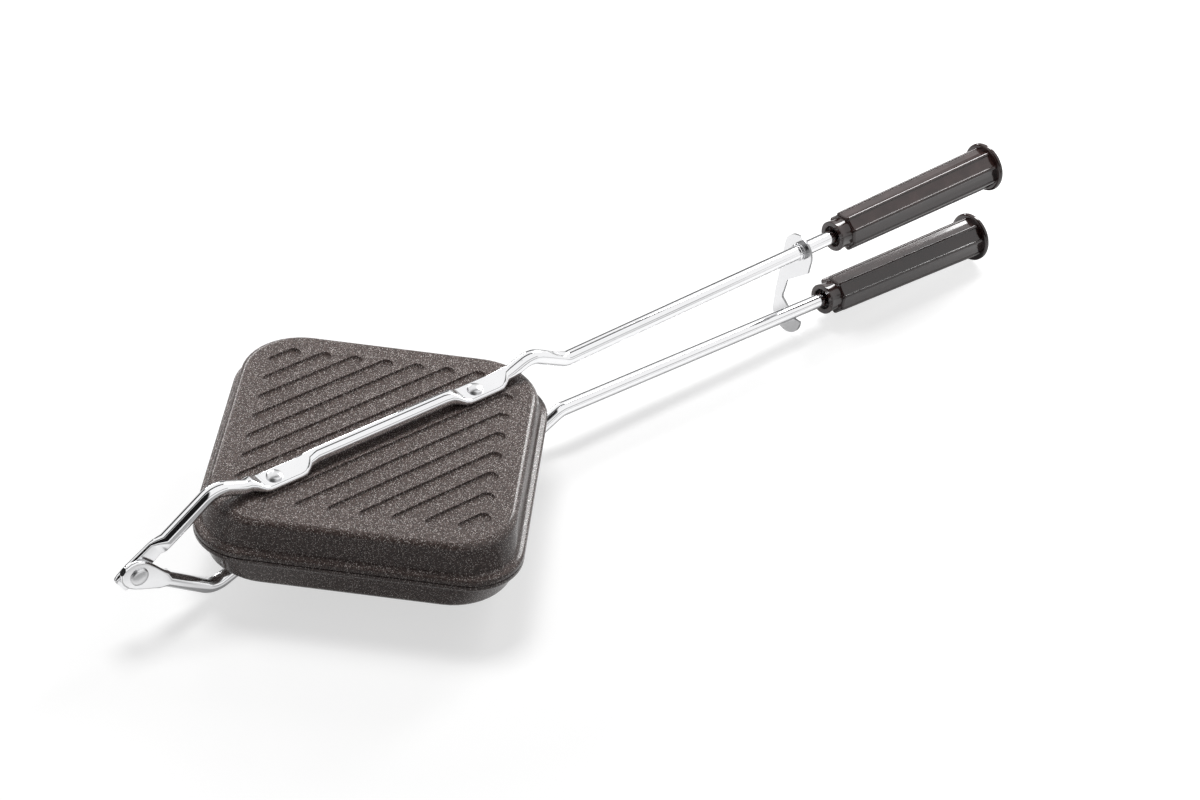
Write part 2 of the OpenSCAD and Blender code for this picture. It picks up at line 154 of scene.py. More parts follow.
def polish(piece, angle):
    """Shade the piece smooth, with its flats kept flat and its sharp edges sharp."""
    bpy.ops.object.select_all(action="DESELECT")
    bpy.context.view_layer.objects.active = piece
    piece.select_set(True)
    bpy.ops.object.shade_smooth_by_angle(angle=math.radians(angle))
    flats = piece.modifiers.new("flats", "WEIGHTED_NORMAL")
    flats.keep_sharp = True
    bpy.ops.object.modifier_apply(modifier=flats.name)


def copy_of(piece, name):
    """A copy of the piece with its own mesh."""
    bpy.ops.object.select_all(action="DESELECT")
    piece.select_set(True)
    bpy.context.view_layer.objects.active = piece
    bpy.ops.object.duplicate()
    twin = bpy.context.object
    twin.name = name
    twin.data.name = name
    return twin


def turned_over(piece, name):
    """A copy of the piece for the lower half, mirrored about the parting plane."""
    twin = copy_of(piece, name)
    bpy.ops.object.mode_set(mode="EDIT")
    bpy.ops.mesh.select_all(action="SELECT")
    bpy.ops.transform.resize(value=(1, 1, -1), center_override=(0, 0, parting_z))
    bpy.ops.mesh.flip_normals()
    bpy.ops.object.mode_set(mode="OBJECT")
    return twin


def paint(piece, material):
    """Give the whole piece one material."""
    piece.data.materials.clear()
    piece.data.materials.append(material)


def on_level(point, level):
    """Whether a point lies on the rounded square of a level, to 0.02 mm."""
    near = 0.00002
    side, corner, height = level
    dx, dy = point.x - centre_x, point.y
    u, v = abs(dx + dy) / math.sqrt(2), abs(dx - dy) / math.sqrt(2)
    reach = math.hypot(max(u - side + corner, 0), max(v - side + corner, 0))
    return abs(point.z - parting_z - height) < near and abs(reach - corner) < near


def lay_level(level):
    """Add the outline of one level to the open piece, filled."""
    side, corner, height = level
    bpy.ops.mesh.select_all(action="DESELECT")
    bpy.ops.mesh.primitive_plane_add(
        size=2 * side, location=(centre_x, 0, parting_z + height), rotation=(0, 0, math.radians(45))
    )
    bpy.ops.mesh.bevel(offset=corner, segments=corner_steps, affect="VERTICES")


def cast_plate(name):
    """The dish without its grooves: walls from level to level, with their edges rounded."""
    bpy.ops.object.select_all(action="DESELECT")
    side, corner, height = face_edge
    bpy.ops.mesh.primitive_plane_add(
        size=2 * side, location=(centre_x, 0, parting_z + height), rotation=(0, 0, math.radians(45))
    )
    plate = open_piece(name)
    bpy.ops.mesh.select_all(action="SELECT")
    bpy.ops.mesh.bevel(offset=corner, segments=corner_steps, affect="VERTICES")
    for level in (wall_foot, rim_edge, rim_foot, inner_mouth, inner_foot):
        lay_level(level)
        bpy.ops.mesh.delete(type="ONLY_FACE")
    lay_level(inner_floor)
    chain = (face_edge, wall_foot, rim_edge, rim_foot, inner_mouth, inner_foot, inner_floor)
    for first, second in zip(chain, chain[1:]):
        pick(lambda p: on_level(p, first) or on_level(p, second))
        bpy.ops.mesh.bridge_edge_loops()
    rounds = (
        (face_edge, 0.0030, 7), (wall_foot, 0.0011, 4), (rim_edge, 0.0012, 5),
        (rim_foot, 0.0004, 3), (inner_floor, 0.0028, 4), (inner_mouth, 0.0004, 4),
    )
    for level, width, steps in rounds:
        pick(lambda p: on_level(p, level))
        bpy.ops.mesh.bevel(offset=width, segments=steps, affect="EDGES")
    close_piece()
    return plate


def groove_stamp(row, top, half_width, steps):
    """One long stamp with round ends, for a row: steps say how far it draws in and goes down."""
    bpy.ops.object.select_all(action="DESELECT")
    bpy.ops.mesh.primitive_circle_add(
        vertices=stamp_points, radius=half_width, fill_type="NGON",
        location=(centre_x, row * groove_pitch, top), rotation=(0, 0, math.radians(90)),
    )
    stamp = open_piece("stamp")
    half_length = groove_reach - abs(row) * groove_pitch - groove_end
    for way in (-1, 1):
        pick(lambda p: way * (p.x - centre_x) > 0)
        bpy.ops.transform.translate(value=(way * half_length, 0, 0))
    pick_faces(lambda face: True)
    for draw, drop in steps:
        bpy.ops.mesh.inset(thickness=draw, depth=-drop)
    bpy.ops.mesh.select_mode(type="VERT")
    pick(lambda p: p.z > top - tiny)
    bpy.ops.mesh.extrude_region_move(TRANSFORM_OT_translate={"value": (0, 0, stamp_height)})
    bpy.ops.mesh.edge_face_add()
    close_piece()
    return stamp


upper_plate = cast_plate("upper_dish")
rows = [row for row in range(-7, 8) if row]

# The ribs inside: their stamps' tops then sink into the plate's thickness, to be welded there
rib_top, rib_half_width, rib_sink = 0.01615, 0.0042, 0.0023
rib_steps = (
    (0.00035, 0.0006), (0.00045, 0.0005), (0.0006, 0.0005), (0.0007, 0.00035),
    (0.0008, 0.0002), (0.0008, 0.00008),
)
rib_band = join([groove_stamp(row, parting_z + rib_top, rib_half_width, rib_steps) for row in rows])
bpy.ops.object.mode_set(mode="EDIT")
pick(lambda p: p.z > parting_z + rib_top + stamp_height / 2)
bpy.ops.transform.translate(value=(0, 0, -rib_sink))
bpy.ops.object.mode_set(mode="OBJECT")
carve(upper_plate, rib_band, "UNION")

# The grooves outside: their stamps start a hair over the face
stamp_top, groove_half_width = parting_z + plate_depth + 0.00003, 0.00335
groove_steps = (
    (0.00008, 0.00008), (0.00010, 0.00026), (0.00014, 0.00042), (0.00022, 0.00042),
    (0.00034, 0.00028), (0.00050, 0.00016), (0.00060, 0.00008), (0.00060, 0.00002),
)
grooves = [groove_stamp(row, stamp_top, groove_half_width, groove_steps) for row in rows]
carve(upper_plate, join(grooves))
lower_plate = turned_over(upper_plate, "lower_dish")


def new_material(name):
    """A new material, with its node tree and its shader."""
    material = bpy.data.materials.new(name)
    material.use_nodes = True
    return material, material.node_tree, material.node_tree.nodes["Principled BSDF"]


def feed(tree, node, inputs):
    """Set the node's inputs to values, or link them to what other nodes give."""
    for name, value in inputs.items():
        if isinstance(value, bpy.types.NodeSocket):
            tree.links.new(value, node.inputs[name])
        else:
            node.inputs[name].default_value = value


def add_node(tree, kind, inputs, operation=None):
    """Add a node of a kind to the tree and feed its inputs."""
    node = tree.nodes.new(kind)
    if operation:
        node.operation = operation
    feed(tree, node, inputs)
    return node


def maths(tree, operation, *values):
    """The result of a sum with one to three values."""
    node = add_node(tree, "ShaderNodeMath", dict(enumerate(values)), operation)
    return node.outputs["Value"]


def mapped(tree, value, low, high, start=0.0, end=1.0):
    """The value's stretch from start to end, mapped on low to high and held there."""
    inputs = {"Value": value, "From Min": start, "From Max": end, "To Min": low, "To Max": high}
    return add_node(tree, "ShaderNodeMapRange", inputs).outputs["Result"]


def noise(tree, place, scale, detail, roughness=0.5):
    """Soft blotches, about as many to the metre as the scale says."""
    inputs = {"Vector": place, "Scale": scale, "Detail": detail, "Roughness": roughness}
    return add_node(tree, "ShaderNodeTexNoise", inputs).outputs["Fac"]


def ramp(tree, value, stops):
    """A ramp of colours: where each one stands, and what it is."""
    node = add_node(tree, "ShaderNodeValToRGB", {"Fac": value})
    points = node.color_ramp.elements
    for k, (place, colour) in enumerate(stops):
        point = points[k] if k < 2 else points.new(place)
        point.position = place
        point.color = (*colour, 1)
    return node.outputs["Color"]


def uneven(tree, height, strength, depth):
    """A surface that rises and falls with the height given, by up to the depth."""
    inputs = {"Height": height, "Strength": strength, "Distance": depth}
    return add_node(tree, "ShaderNodeBump", inputs).outputs["Normal"]


def flecked_coating():
    """Sprayed non-stick coating: dark brown-grey with light grains and a fine orange peel."""
    coating, tree, shader = new_material("flecked_coating")
    place = add_node(tree, "ShaderNodeTexCoord", {}).outputs["Object"]
    dark_ground, light_ground = (0.036, 0.026, 0.023), (0.112, 0.082, 0.074)
    light_grain = (0.80, 0.74, 0.71, 1)

    cloud = noise(tree, place, 1400, 3, 0.7)
    ground = ramp(tree, cloud, ((0.41, dark_ground), (0.59, light_ground)))
    # Each cell holds a grain of a size of its own, or none
    cells = add_node(tree, "ShaderNodeTexVoronoi", {"Vector": place, "Scale": 2300}).outputs
    chance = add_node(tree, "ShaderNodeSeparateColor", {"Color": cells["Color"]}).outputs["Red"]
    grain = maths(tree, "LESS_THAN", cells["Distance"], mapped(tree, chance, 0.0, 0.42, 0.25))
    flecks = tree.nodes.new("ShaderNodeMix")
    flecks.data_type = "RGBA"
    feed(tree, flecks, {"Factor": grain, "A": ground, "B": light_grain})

    peel = noise(tree, place, 1300, 3)
    feed(tree, shader, {
        "Base Color": flecks.outputs["Result"],
        "Normal": uneven(tree, peel, 0.30, 0.00015),
        "Roughness": mapped(tree, peel, 0.30, 0.45),
        "Specular IOR Level": 0.2,
        "Coat Weight": 0.45,
        "Coat Roughness": 0.12,
    })
    return coating


coating = flecked_coating()
for plate, half in ((lower_plate, "lower"), (upper_plate, "upper")):
    polish(plate, 32)
    paint(plate, coating)
    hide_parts(half + "_plate")
    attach(plate, half)


# ---------------------------------------------------------------- arms
# Each arm is one piece of 7 mm chromed steel tube, bent cold over small rollers.
# It is pressed flat for the two rivets on its plate and sideways for the hinge,
# and the roller leaves a dent in the valley behind the plate.
tube_r = 0.0035
tube_points = 30
bend_r, valley_r, bend_steps = 0.011, 0.0088, 14
hinge = Vector((centre_x - 0.126017, 0, parting_z))
hinge_angle = math.radians(34.94)
pad_half_width, pad_half_thick = 0.006, 0.0014
# Where each ring stands along a pad, how far it is pressed down and how far spread
pad_rings = (
    (-0.0078, 0.05, 0.10), (-0.0058, 0.22, 0.34), (-0.0038, 0.50, 0.64), (-0.0018, 0.80, 0.86),
    (0.0004, 0.97, 0.98), (0.0024, 1.0, 1.0), (0.0170, 1.0, 1.0), (0.0193, 0.95, 0.92),
    (0.0213, 0.70, 0.60), (0.0233, 0.22, 0.16),
)


def on_arm(x, z):
    """A place in the arm's plane, from the plates' centre."""
    return Vector((centre_x + x, 0, parting_z + z))


def headed(angle):
    """The direction of a heading in the arm's plane."""
    return Vector((math.cos(angle), 0, math.sin(angle)))


def draw_tube(end, angle, to, to_angle):
    """Draw the open end on to a new place and turn it there to a new heading."""
    bpy.ops.mesh.extrude_region_move(TRANSFORM_OT_translate={"value": to - end})
    if abs(to_angle - angle) > tiny:
        bpy.ops.transform.rotate(value=to_angle - angle, orient_axis="Y", center_override=to)
    return to, to_angle


def bend_tube(end, angle, corner, radius, to_angle):
    """Run straight to the bend at the corner, then bend round it to a new heading."""
    turn = to_angle - angle
    start = corner - headed(angle) * radius * math.tan(abs(turn) / 2)
    draw_tube(end, angle, start, angle)
    way = 1 if turn > 0 else -1
    hub = start + way * radius * Vector((-math.sin(angle), 0, math.cos(angle)))
    bpy.ops.mesh.spin(steps=bend_steps, angle=abs(turn), center=hub, axis=(0, way, 0))
    return corner + headed(to_angle) * radius * math.tan(abs(turn) / 2), to_angle


def heading(start, end):
    """The heading from one place to another."""
    return math.atan2(end.z - start.z, end.x - start.x)


# The way of the upper tube's axis over the plate, from the hinge end back to the grip
face_z = plate_depth
pad_front = -0.061013
front_bend = on_arm(-0.0865, 0.0276)
front_end = on_arm(pad_front - 0.0112, face_z + tube_r + 0.0009)
middle_z = face_z + 0.001 + tube_r
middle_front = on_arm(pad_front + 0.0275, middle_z)
pad_rear = 0.048013
middle_rear = on_arm(pad_rear - 0.0115, middle_z)
rear_start = on_arm(pad_rear + 0.0275, face_z + tube_r + 0.0005)
rear_bend = on_arm(0.086413, 0.026)
valley_x, valley_rise = 0.108017, 0.015
valley = on_arm(valley_x, valley_rise)
run_slope = math.radians(1.4)
# The handle runs on to the grip's end, and the tube stops short of that
handle_length, tube_stop = 0.278, 0.0086
run_length = handle_length - tube_stop
run_end = valley + headed(run_slope) * run_length / math.cos(run_slope)

# The straight stretch from the rear bend down to the valley, and its rings' shares of it
descent = heading(rear_bend, valley)
rear_turn = heading(rear_start, rear_bend) - descent
descent_start = rear_bend + headed(descent) * bend_r * math.tan(rear_turn / 2)
descent_end = valley - headed(descent) * valley_r * math.tan((run_slope - descent) / 2)
descent_rings = (0.12, 0.25, 0.38, 0.5, 0.6, 0.7, 0.79, 0.88, 0.96)

# The lugs lap at the hinge: how thick each is, and how far off the iron's middle
lug_thick, lug_away = 0.0029, 0.0016
neck_half_thick, neck_away = tube_r * 0.72, lug_away * 0.4
lug_neck, lug_end = 0.0157, 0.019
half_lug = 0.004725
# Where each ring stands along a lug, and its half height: one end is cut straight, one round
straight_lug = [
    (-0.0086, 0.0043), (-0.0078, 0.0050), (-0.0060, 0.0054), (0, 0.0056), (0.013, half_lug),
]
lug_r, flattening = 0.0089, 0.8
round_lug = [(-lug_r * 0.995, 0.0019)]
for ring_angle in (20, 40, 60, 80, 100):
    ring_u = -math.cos(math.radians(ring_angle)) * lug_r
    round_lug.append((ring_u, flattening * math.sqrt(lug_r ** 2 - ring_u * ring_u)))
round_lug += [(0.006, 0.0063), (0.0095, 0.0055), (0.013, half_lug)]


def bent_tube(name, lug):
    """The round tube with all its bends, from the tip of its lug to inside the grip."""
    along = headed(hinge_angle)
    start = hinge + along * lug[0][0]
    bpy.ops.object.select_all(action="DESELECT")
    bpy.ops.mesh.primitive_circle_add(
        vertices=tube_points, radius=tube_r, fill_type="NGON", location=start,
        rotation=(0, math.radians(90) - hinge_angle, 0),
    )
    tube = open_piece(name)
    bpy.ops.mesh.select_all(action="SELECT")
    end, angle = start, hinge_angle
    for u in (*[ring[0] for ring in lug[1:]], lug_neck, lug_end):
        end, angle = draw_tube(end, angle, hinge + along * u, hinge_angle)
    after_front = heading(front_bend, front_end)
    end, angle = bend_tube(end, angle, front_bend, bend_r, after_front)
    end, angle = draw_tube(end, angle, front_end, angle)
    front_pad = [on_arm(pad_front + ring[0], middle_z) for ring in pad_rings]
    rear_pad = [on_arm(pad_rear + ring[0], middle_z) for ring in pad_rings]
    for place in (*front_pad, middle_front, middle_rear, *rear_pad):
        end, angle = draw_tube(end, angle, place, 0)
    end, angle = draw_tube(end, angle, rear_start, heading(rear_start, rear_bend))
    end, angle = bend_tube(end, angle, rear_bend, bend_r, descent)
    for share in descent_rings:
        end, angle = draw_tube(end, angle, descent_start.lerp(descent_end, share), angle)
    end, angle = bend_tube(end, angle, valley, valley_r, run_slope)
    draw_tube(end, angle, run_end, run_slope)
    return tube


def press_pad(start):
    """Press a stretch of the tube down on the plate: it gets thin, and wide across."""
    for along, press, spread in pad_rings:
        x = start + along
        # Only this ring, and nothing of the tube below the plate's face
        near = lambda p: abs(p.x - centre_x - x) < 0.0004 and p.z > parting_z + face_z - 0.001
        pick(near)
        thin = 1 + press * (pad_half_thick / tube_r - 1)
        bpy.ops.transform.resize(value=(1, thin, thin), center_override=on_arm(x, middle_z))
        bpy.ops.transform.translate(value=(0, 0, press * (face_z + pad_half_thick - middle_z)))
        wider = tube_r + spread * (pad_half_width - tube_r) - tube_r * thin
        for way in (-1, 1):
            pick(lambda p: near(p) and way * p.y > 0)
            bpy.ops.transform.translate(value=(0, way * wider, 0))


def press_lug(u, half_height, half_thick, away):
    """Press the ring at u sideways into the lug: thin across the iron, and tall."""
    along = headed(hinge_angle)
    up = Vector((-along.z, 0, along.x))
    # Only this ring, and nothing of the tube behind the lug
    near = lambda p: abs((p - hinge).dot(along) - u) < 0.0002 and p.x < centre_x - 0.09
    pick(near)
    squeeze = half_thick / tube_r
    bpy.ops.transform.resize(value=(squeeze,) * 3, center_override=hinge + along * u)
    for way in (-1, 1):
        pick(lambda p: near(p) and way * (p - hinge).dot(up) > tiny)
        bpy.ops.transform.translate(value=up * way * (half_height - half_thick))
    pick(near)
    bpy.ops.transform.translate(value=(0, away, 0))


def dent_valley():
    """The roller's dent: the upper side is pressed in where the tube runs down to the valley."""
    dent_depth, dent_core, dent_reach = 0.0012, 0.0011, 0.0027
    up = Vector((-math.sin(descent), 0, math.cos(descent)))
    for share, deep in ((0.46, 0.35), (0.60, 0.85), (0.74, 1.0), (0.88, 0.8)):
        at = descent_start.lerp(descent_end, share) + up * tube_r
        pick(lambda p: (p - at).length < dent_core)
        bpy.ops.transform.translate(
            value=-up * dent_depth * deep, use_proportional_edit=True,
            proportional_edit_falloff="SMOOTH", proportional_size=dent_reach,
        )


def bent_arm(name, lug, side):
    """Bend the tube, then press its lug to one side, its two pads and its dent."""
    tube = bent_tube(name, lug)
    for u, half_height in lug:
        press_lug(u, half_height, lug_thick / 2, side * lug_away)
    press_lug(lug_neck, half_lug, neck_half_thick, side * neck_away)
    for start in (pad_front, pad_rear):
        press_pad(start)
    dent_valley()
    return tube


upper_arm = bent_arm("upper_tube", straight_lug, 1)
close_piece()

# Two beads rolled round the upper tube hold the latch between them
bead_r = 0.0007
for place in (0.2544, 0.2596):
    rise = Vector((0, 0, (place - valley_x) * math.tan(run_slope)))
    bpy.ops.object.select_all(action="DESELECT")
    bpy.ops.mesh.primitive_torus_add(
        major_radius=tube_r, minor_radius=bead_r, major_segments=48, minor_segments=12,
        location=on_arm(place, valley_rise) + rise, rotation=(0, math.radians(90) - run_slope, 0),
    )
    bead = open_piece("rolled_bead")
    close_piece()
    carve(upper_arm, bead, "UNION")

lower_arm = bent_arm("lower_tube", round_lug, -1)
bpy.ops.mesh.select_all(action="SELECT")
bpy.ops.transform.resize(value=(1, 1, -1), center_override=(0, 0, parting_z))
close_piece()


def chrome_plate(name, shade, roughness, wave_strength=0.01, wave_depth=0.0002):
    """Bright chrome on steel, with the faint waviness of a drawn and polished surface."""
    chrome, tree, shader = new_material(name)
    place = add_node(tree, "ShaderNodeTexCoord", {}).outputs["Object"]
    cloud = noise(tree, place, 60, 3)
    waves = noise(tree, place, 140, 2)
    dull = [shade * k for k in (0.955, 0.957, 0.97)]
    bright = [shade * k for k in (0.99, 0.99, 1.0)]
    feed(tree, shader, {
        "Metallic": 1,
        "Base Color": ramp(tree, cloud, ((0.3, dull), (0.7, bright))),
        "Roughness": mapped(tree, cloud, roughness * 0.7, roughness * 1.3),
        "Normal": uneven(tree, waves, wave_strength, wave_depth),
    })
    return chrome


tube_chrome = chrome_plate("tube_chrome", 0.93, 0.08)
for arm, half in ((lower_arm, "lower"), (upper_arm, "upper")):
    polish(arm, 40)
    paint(arm, tube_chrome)
    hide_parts(half + "_arm")
    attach(arm, half)


# ---------------------------------------------------------------- rivets
# Four steel rivets hold the arms on the plates and one is the hinge's pin. Their
# low round heads are formed by the riveting tool, which leaves them a little uneven.
rivet_x = 0.055013


def turned(name, start, profile, points=40):
    """A piece turned about Z: profile is radius and height, from the start upwards."""
    bpy.ops.object.select_all(action="DESELECT")
    radius, height = profile[0]
    bpy.ops.mesh.primitive_circle_add(
        vertices=points, radius=radius, fill_type="NGON", location=start + Vector((0, 0, height))
    )
    piece = open_piece(name)
    bpy.ops.mesh.select_all(action="SELECT")
    for (r0, z0), (r1, z1) in zip(profile, profile[1:]):
        bpy.ops.mesh.extrude_region_move(TRANSFORM_OT_translate={"value": (0, 0, z1 - z0)})
        grow = r1 / r0
        bpy.ops.transform.resize(value=(grow, grow, 1), center_override=start + Vector((0, 0, z1)))
    close_piece()
    return piece


def cap(radius, height, base):
    """Profile of a low domed head that stands on the level base."""
    edge = height * 0.25
    profile = [(radius * 0.97, base), (radius, base + edge * 0.4), (radius, base + edge)]
    for degrees in (12, 26, 40, 54, 68, 80, 88):
        a = math.radians(degrees)
        profile.append((radius * math.cos(a), base + edge + (height - edge) * math.sin(a)))
    return profile


rivet_steel = chrome_plate("struck_steel", 0.84, 0.30, wave_strength=0.35, wave_depth=0.0006)
pad_top = face_z + 2 * pad_half_thick
shank_r, head_r = 0.002, 0.00375
tail = [(0.0028, 0.0145), (0.00312, 0.0148), (0.00312, 0.0155), (shank_r, 0.0156)]
shank = [(shank_r, pad_top - 0.0002)]
for place, x in (("front", -rivet_x), ("rear", rivet_x)):
    head = cap(head_r, 0.0017, pad_top)
    rivet = turned("upper_" + place + "_rivet_dome", on_arm(x, 0), tail + shank + head)
    twin = turned_over(rivet, "lower_" + place + "_rivet_dome")
    for piece, half in ((rivet, "upper"), (twin, "lower")):
        polish(piece, 50)
        paint(piece, rivet_steel)
        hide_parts(half + "_" + place + "_rivet")
        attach(piece, half)

# The hinge's pin, turned along Z and then laid across the iron
lug_outer = 0.00305
far_head = [(r, -z) for r, z in reversed(cap(head_r, 0.00119, lug_outer + 0.00015))]
pin_shank = [(shank_r, -lug_outer - 0.0001), (shank_r, lug_outer - 0.0001)]
near_head = cap(0.0043, 0.0019, lug_outer)
pin = turned("hinge_pin", Vector((0, 0, 0)), far_head + pin_shank + near_head)
bpy.ops.object.mode_set(mode="EDIT")
bpy.ops.mesh.select_all(action="SELECT")
bpy.ops.transform.rotate(value=math.radians(-90), orient_axis="X", center_override=(0, 0, 0))
bpy.ops.transform.translate(value=hinge)
close_piece()
polish(pin, 50)
paint(pin, rivet_steel)
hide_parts("hinge_rivet")
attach(pin, "lower")


# ---------------------------------------------------------------- latch
# A hook punched from 1.2 mm steel sheet and chromed. A short collar is drawn up
# round its hole, so that it swings square on the upper tube between two rolled
# beads, and its hook slips under the lower tube to keep the iron shut.
latch_rise = 0.0186659
latch_place = on_arm(0.258017, latch_rise)
latch_thick = 0.0012
# In the latch's plane, from the upper tube's axis: the lower tube and the hook's round
lower_tube = -2 * latch_rise
hook_seat, hook_r = 0.00385, 0.0097
hook = Vector((0.0044, lower_tube - 0.0043))
# The round that holds the bore, the leg's inner edge, and how far out the cutters reach
eye_x, eye_y, eye_r = 0.0021, -0.0022, 0.0093
leg_inner = 0.0088
outside, through = -0.0200, 0.02
collar_r, collar_length, collar_along = 0.0046, 0.0023, -0.00145
bore_r = 0.00355
mouth_corner, mouth_top = lower_tube + 0.0036, hook.y + 0.0107


def disc(name, x, y, radius, thick, points=96, along=0):
    """A round of sheet in the latch's plane: x across the iron, y up."""
    bpy.ops.object.select_all(action="DESELECT")
    bpy.ops.mesh.primitive_cylinder_add(
        vertices=points, radius=radius, depth=thick, location=(along, x, y),
        rotation=(0, math.radians(90), 0),
    )
    piece = open_piece(name)
    close_piece()
    return piece


def sheet_cut(name, outline, thick):
    """Trace an outline in the latch's plane and give it its thickness."""
    bpy.ops.object.select_all(action="DESELECT")
    x, y = outline[0]
    bpy.ops.mesh.primitive_plane_add(size=0.001, location=(-thick / 2, x, y))
    piece = open_piece(name)
    bpy.ops.mesh.select_all(action="SELECT")
    bpy.ops.mesh.merge(type="CENTER")
    for (x0, y0), (x1, y1) in zip(outline, outline[1:]):
        bpy.ops.mesh.extrude_region_move(TRANSFORM_OT_translate={"value": (0, x1 - x0, y1 - y0)})
    bpy.ops.mesh.select_all(action="SELECT")
    bpy.ops.mesh.edge_face_add()
    bpy.ops.mesh.extrude_region_move(TRANSFORM_OT_translate={"value": (thick, 0, 0)})
    close_piece()
    return piece


def on_the_run(piece, place):
    """Tip the piece to the slope of the handle run and move it to its place."""
    bpy.ops.object.select_all(action="DESELECT")
    bpy.context.view_layer.objects.active = piece
    piece.select_set(True)
    bpy.ops.object.mode_set(mode="EDIT")
    bpy.ops.mesh.select_all(action="SELECT")
    bpy.ops.transform.rotate(value=run_slope, orient_axis="Y", center_override=(0, 0, 0))
    bpy.ops.transform.translate(value=place)
    bpy.ops.object.mode_set(mode="OBJECT")


latch = disc("latch_hook", eye_x, eye_y, eye_r, latch_thick)
carve(latch, sheet_cut("leg", [
    (-0.0072, -0.0022), (-0.0062, -0.0104), (0.0068, -0.0220), (leg_inner, -0.0325),
    (leg_inner, hook.y), (hook.x + hook_r, hook.y), (0.0139, -0.0330), (0.0130, -0.0220),
    (0.0126, -0.0146), (0.0114, -0.0022),
], latch_thick), "UNION")
carve(latch, disc("hook_round", hook.x, hook.y, hook_r, latch_thick), "UNION")
carve(latch, disc("drawn_collar", 0, 0, collar_r, collar_length, 48, collar_along), "UNION")
carve(latch, disc("bore", 0, 0, bore_r, through, 48))
carve(latch, disc("seat", 0, lower_tube, hook_seat, through, 48))
# The cut that lets the lower tube pass as the latch swings, and the hook's open mouth
swing_r, swing_top = 0.0412, -0.0185
swing = []
for degrees in range(0, -29, -2):
    a = math.radians(degrees)
    swing.append((swing_r * math.sin(a), -swing_r * math.cos(a)))
swing += [(outside, swing_top), (0, swing_top)]
carve(latch, sheet_cut("swing", swing, through))
carve(latch, sheet_cut("mouth", [
    (outside, lower_tube), (hook_seat, lower_tube), (leg_inner, mouth_corner),
    (leg_inner, mouth_top), (outside, mouth_top),
], through))
bpy.context.view_layer.objects.active = latch
latch.select_set(True)
edges = latch.modifiers.new("punched_edges", "BEVEL")
edges.width = 0.00030
edges.segments = 2
edges.limit_method = "ANGLE"
edges.angle_limit = math.radians(35)
bpy.ops.object.modifier_apply(modifier=edges.name)
on_the_run(latch, latch_place)
polish(latch, 35)
paint(latch, chrome_plate("latch_chrome", 0.77, 0.18))
latch.data.materials.append(chrome_plate("edge_shade_chrome", 0.38, 0.32))
# The cut edges and their rounds get a rougher chrome at half the brightness: painted shade that
# draws a grey outline round the sheet
for face in latch.data.polygons:
    face.material_index = 1 if abs(face.normal.x) < 0.96 else 0
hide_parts("latch")
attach(latch, "latch")


# ---------------------------------------------------------------- grips
# Moulded in one piece from dark brown bakelite and driven on the tube's end: a
# waisted collar, eight hollow flutes between narrow ribs, and a flange that stops
# the hand. The bakelite leaves the polished mould with a high gloss.
grip_length = 0.108
grip_along = handle_length - grip_length
grip_place = on_arm(valley_x + grip_along, valley_rise + grip_along * math.tan(run_slope))
body_front, body_back = 0.008, 0.1066
corner_r, flute_r = 0.00952, 0.00856
rib_width, rib_height, rib_round = 0.0019, 0.0007, 0.00062
# How far each step of the body's front shoulder goes on, and how much it draws in
shoulder_steps = ((0.00045, 0.985), (0.00035, 0.965), (0.00025, 0.94), (0.0001, 0.92))


def pick_long_edges(radius):
    """Select the open piece's lengthwise edges that lie further out than a radius."""
    bpy.ops.mesh.select_mode(type="EDGE")
    bpy.ops.mesh.select_all(action="DESELECT")
    mesh = bmesh.from_edit_mesh(bpy.context.edit_object.data)
    for edge in mesh.edges:
        a, b = (v.co for v in edge.verts)
        edge.select_set(abs(a.x - b.x) > 0.05 and math.hypot(a.y, a.z) > radius)
    bmesh.update_edit_mesh(bpy.context.edit_object.data)


def fluted_body(turn):
    """The octagonal body: hollow flutes, ribs drawn out of its corners, round shoulders."""
    bpy.ops.object.select_all(action="DESELECT")
    bpy.ops.mesh.primitive_cylinder_add(
        vertices=16, radius=corner_r, depth=body_back - body_front,
        location=((body_front + body_back) / 2, 0, 0), rotation=(0, math.radians(90), 0),
    )
    body = open_piece("grip_body")
    sector = lambda p: math.degrees(math.atan2(p.z, p.y)) / 22.5
    pick(lambda p: round(sector(p)) % 2 == 1)
    hollow = flute_r / corner_r
    bpy.ops.transform.resize(value=(1, hollow, hollow), center_override=(0, 0, 0))
    pick_long_edges(corner_r - 10 * tiny)
    bpy.ops.mesh.bevel(offset=rib_width / 2, segments=1, affect="EDGES")
    rib_area = rib_width * (body_back - body_front)
    pick_faces(lambda f: abs(f.normal.x) < 0.1 and f.calc_area() < rib_area)
    bpy.ops.mesh.extrude_faces_move(TRANSFORM_OT_shrink_fatten={"value": rib_height})
    pick_long_edges(corner_r + 0.0002)
    bpy.ops.mesh.bevel(offset=rib_round, segments=4, affect="EDGES")
    for step, shrink in shoulder_steps:
        pick_faces(lambda f: f.normal.x < -0.9 and f.calc_center_median().x < body_front + 0.0001)
        bpy.ops.mesh.extrude_region_move(TRANSFORM_OT_translate={"value": (-step, 0, 0)})
        bpy.ops.transform.resize(value=(1, shrink, shrink), center_override=(0, 0, 0))
    # The body's back end flares a little into the flange
    bpy.ops.mesh.select_mode(type="VERT")
    pick(lambda p: p.x > body_back - 0.001)
    bpy.ops.transform.resize(value=(1, 1.1, 1.1), center_override=(0, 0, 0))
    bpy.ops.mesh.select_all(action="SELECT")
    bpy.ops.transform.rotate(value=math.radians(-turn), orient_axis="X", center_override=(0, 0, 0))
    close_piece()
    return body


